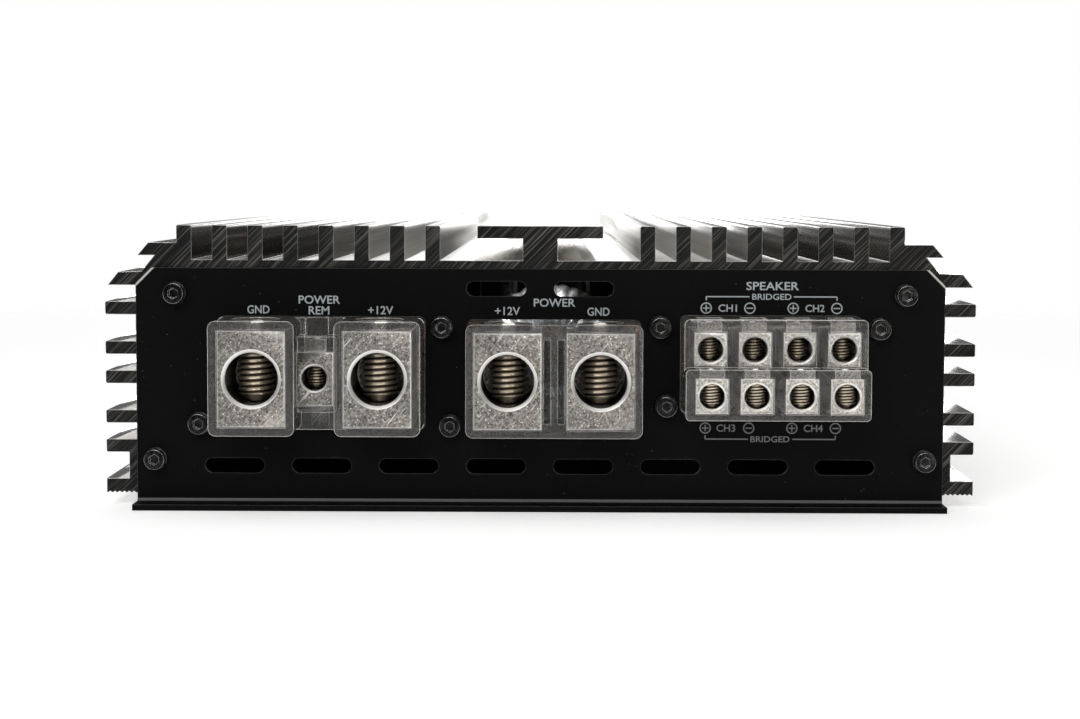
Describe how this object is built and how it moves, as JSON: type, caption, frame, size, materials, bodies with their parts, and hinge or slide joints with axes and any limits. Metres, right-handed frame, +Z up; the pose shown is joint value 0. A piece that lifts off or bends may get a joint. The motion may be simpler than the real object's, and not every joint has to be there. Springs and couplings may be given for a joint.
{
  "type": "car audio amplifier",
  "caption": "Finned aluminium car audio amplifier with black end panels, clear-covered clamp terminals for power and speakers, and phono inputs and controls at the other end",
  "frame": {"origin": "centre of the whole object's box in X and Y, at the underside of the end panels' feet", "axes": "+X is to the right when facing the power terminals, +Y runs along the fins from the power end to the input end, +Z is up"},
  "size_m": [0.2362, 0.4918, 0.0766],
  "materials": {
    "extrusion": "satin, with extrusion lines; black coated where it was sawn",
    "cover_paint": "fine texture",
    "panel_paint": "satin powder coat",
    "black_steel": "black oxide",
    "washer_steel": "dark zinc",
    "zinc_steel": "satin",
    "clear_plastic": "clear and glossy",
    "nickel_plate": "tumbled satin nickel",
    "set_screw_steel": "yellow zinc",
    "circuit_board": "satin solder mask",
    "black_plastic": "satin",
    "tinned_winding": "satin",
    "copper_winding": "gloss enamel",
    "capacitor_sleeve": "gloss",
    "filter_sleeve": "gloss",
    "transistor_epoxy": "matte",
    "silicone_pad": "matte",
    "bar_aluminium": "brushed",
    "jack_nickel": "polished",
    "jack_insert": "satin",
    "knob_plastic": "matte",
    "control_body": "satin",
    "lever_plastic": "satin",
    "led_lens": "diffuse lens"
  },
  "bodies": {
    "case": {"heatsink": "extrusion", "bottom_cover": "cover_paint", "power_end_panel": "panel_paint", "input_end_panel": "panel_paint", "panel_screws": "black_steel", "terminal_screws": "black_steel", "lock_washers": "washer_steel", "bottom_cover_screws": "black_steel", "inner_screws": "zinc_steel", "power_housing_a": "clear_plastic", "power_housing_b": "clear_plastic", "speaker_housing": "clear_plastic", "ground_terminal_a": "nickel_plate", "battery_terminal_a": "nickel_plate", "battery_terminal_b": "nickel_plate", "ground_terminal_b": "nickel_plate", "remote_terminal": "nickel_plate", "speaker_terminals_upper": "nickel_plate", "speaker_terminals_lower": "nickel_plate", "main_board": "circuit_board", "input_board": "circuit_board", "board_link": "black_plastic", "supply_choke": "tinned_winding", "power_transformers": "copper_winding", "reservoir_capacitors": "capacitor_sleeve", "filter_capacitors": "filter_sleeve", "output_inductors": "copper_winding", "power_transistors": "transistor_epoxy", "insulator_strips": "silicone_pad", "clamp_bars": "bar_aluminium", "driver_cards": "circuit_board", "rca_bodies": "black_plastic", "rca_shells": "jack_nickel", "rca_inserts": "jack_insert", "potentiometers": "control_body", "switch_bodies": "zinc_steel", "indicator_leds": "led_lens", "level_remote_jack": "black_plastic"},
    "ground_set_screw_a": {"ground_set_screw_a": "set_screw_steel"},
    "battery_set_screw_a": {"battery_set_screw_a": "set_screw_steel"},
    "battery_set_screw_b": {"battery_set_screw_b": "set_screw_steel"},
    "ground_set_screw_b": {"ground_set_screw_b": "set_screw_steel"},
    "remote_set_screw": {"remote_set_screw": "set_screw_steel"},
    "speaker_set_screw_1": {"speaker_set_screw_1": "set_screw_steel"},
    "speaker_set_screw_2": {"speaker_set_screw_2": "set_screw_steel"},
    "speaker_set_screw_3": {"speaker_set_screw_3": "set_screw_steel"},
    "speaker_set_screw_4": {"speaker_set_screw_4": "set_screw_steel"},
    "speaker_set_screw_5": {"speaker_set_screw_5": "set_screw_steel"},
    "speaker_set_screw_6": {"speaker_set_screw_6": "set_screw_steel"},
    "speaker_set_screw_7": {"speaker_set_screw_7": "set_screw_steel"},
    "speaker_set_screw_8": {"speaker_set_screw_8": "set_screw_steel"},
    "gain_knob_a": {"gain_knob_a": "knob_plastic"},
    "highpass_knob_a": {"highpass_knob_a": "knob_plastic"},
    "lowpass_knob_a": {"lowpass_knob_a": "knob_plastic"},
    "gain_knob_b": {"gain_knob_b": "knob_plastic"},
    "highpass_knob_b": {"highpass_knob_b": "knob_plastic"},
    "lowpass_knob_b": {"lowpass_knob_b": "knob_plastic"},
    "crossover_switch_a": {"crossover_switch_a": "lever_plastic"},
    "crossover_switch_b": {"crossover_switch_b": "lever_plastic"},
    "input_mode_switch": {"input_mode_switch": "lever_plastic"}
  },
  "joints": [
    {"name": "ground_set_screw_a_travel", "type": "slide", "parent": "case", "child": "ground_set_screw_a", "axis": [0, 0, 1], "range_m": [0, 0.0132]},
    {"name": "battery_set_screw_a_travel", "type": "slide", "parent": "case", "child": "battery_set_screw_a", "axis": [0, 0, 1], "range_m": [0, 0.0132]},
    {"name": "battery_set_screw_b_travel", "type": "slide", "parent": "case", "child": "battery_set_screw_b", "axis": [0, 0, 1], "range_m": [0, 0.0132]},
    {"name": "ground_set_screw_b_travel", "type": "slide", "parent": "case", "child": "ground_set_screw_b", "axis": [0, 0, 1], "range_m": [0, 0.0132]},
    {"name": "remote_set_screw_travel", "type": "slide", "parent": "case", "child": "remote_set_screw", "axis": [0, 0, 1], "range_m": [0, 0.0062]},
    {"name": "speaker_set_screw_1_travel", "type": "slide", "parent": "case", "child": "speaker_set_screw_1", "axis": [0, 0, 1], "range_m": [0, 0.0062]},
    {"name": "speaker_set_screw_2_travel", "type": "slide", "parent": "case", "child": "speaker_set_screw_2", "axis": [0, 0, 1], "range_m": [0, 0.0062]},
    {"name": "speaker_set_screw_3_travel", "type": "slide", "parent": "case", "child": "speaker_set_screw_3", "axis": [0, 0, 1], "range_m": [0, 0.0062]},
    {"name": "speaker_set_screw_4_travel", "type": "slide", "parent": "case", "child": "speaker_set_screw_4", "axis": [0, 0, 1], "range_m": [0, 0.0062]},
    {"name": "speaker_set_screw_5_travel", "type": "slide", "parent": "case", "child": "speaker_set_screw_5", "axis": [0, 0, 1], "range_m": [0, 0.0062]},
    {"name": "speaker_set_screw_6_travel", "type": "slide", "parent": "case", "child": "speaker_set_screw_6", "axis": [0, 0, 1], "range_m": [0, 0.0062]},
    {"name": "speaker_set_screw_7_travel", "type": "slide", "parent": "case", "child": "speaker_set_screw_7", "axis": [0, 0, 1], "range_m": [0, 0.0062]},
    {"name": "speaker_set_screw_8_travel", "type": "slide", "parent": "case", "child": "speaker_set_screw_8", "axis": [0, 0, 1], "range_m": [0, 0.0062]},
    {"name": "gain_knob_a_turn", "type": "hinge", "parent": "case", "child": "gain_knob_a", "pos_m": [0.016, 0.2359, 0.045], "axis": [0, 1, 0], "range_deg": [-150, 150]},
    {"name": "gain_knob_b_turn", "type": "hinge", "parent": "case", "child": "gain_knob_b", "pos_m": [0.016, 0.2359, 0.028], "axis": [0, 1, 0], "range_deg": [-150, 150]},
    {"name": "highpass_knob_a_turn", "type": "hinge", "parent": "case", "child": "highpass_knob_a", "pos_m": [-0.001, 0.2359, 0.045], "axis": [0, 1, 0], "range_deg": [-150, 150]},
    {"name": "highpass_knob_b_turn", "type": "hinge", "parent": "case", "child": "highpass_knob_b", "pos_m": [-0.001, 0.2359, 0.028], "axis": [0, 1, 0], "range_deg": [-150, 150]},
    {"name": "lowpass_knob_a_turn", "type": "hinge", "parent": "case", "child": "lowpass_knob_a", "pos_m": [-0.018, 0.2359, 0.045], "axis": [0, 1, 0], "range_deg": [-150, 150]},
    {"name": "lowpass_knob_b_turn", "type": "hinge", "parent": "case", "child": "lowpass_knob_b", "pos_m": [-0.018, 0.2359, 0.028], "axis": [0, 1, 0], "range_deg": [-150, 150]},
    {"name": "crossover_switch_a_travel", "type": "slide", "parent": "case", "child": "crossover_switch_a", "axis": [1, 0, 0], "range_m": [-0.0023, 0.0023]},
    {"name": "crossover_switch_b_travel", "type": "slide", "parent": "case", "child": "crossover_switch_b", "axis": [1, 0, 0], "range_m": [-0.0023, 0.0023]},
    {"name": "input_mode_switch_travel", "type": "slide", "parent": "case", "child": "input_mode_switch", "axis": [1, 0, 0], "range_m": [0, 0.004]}
  ]
}
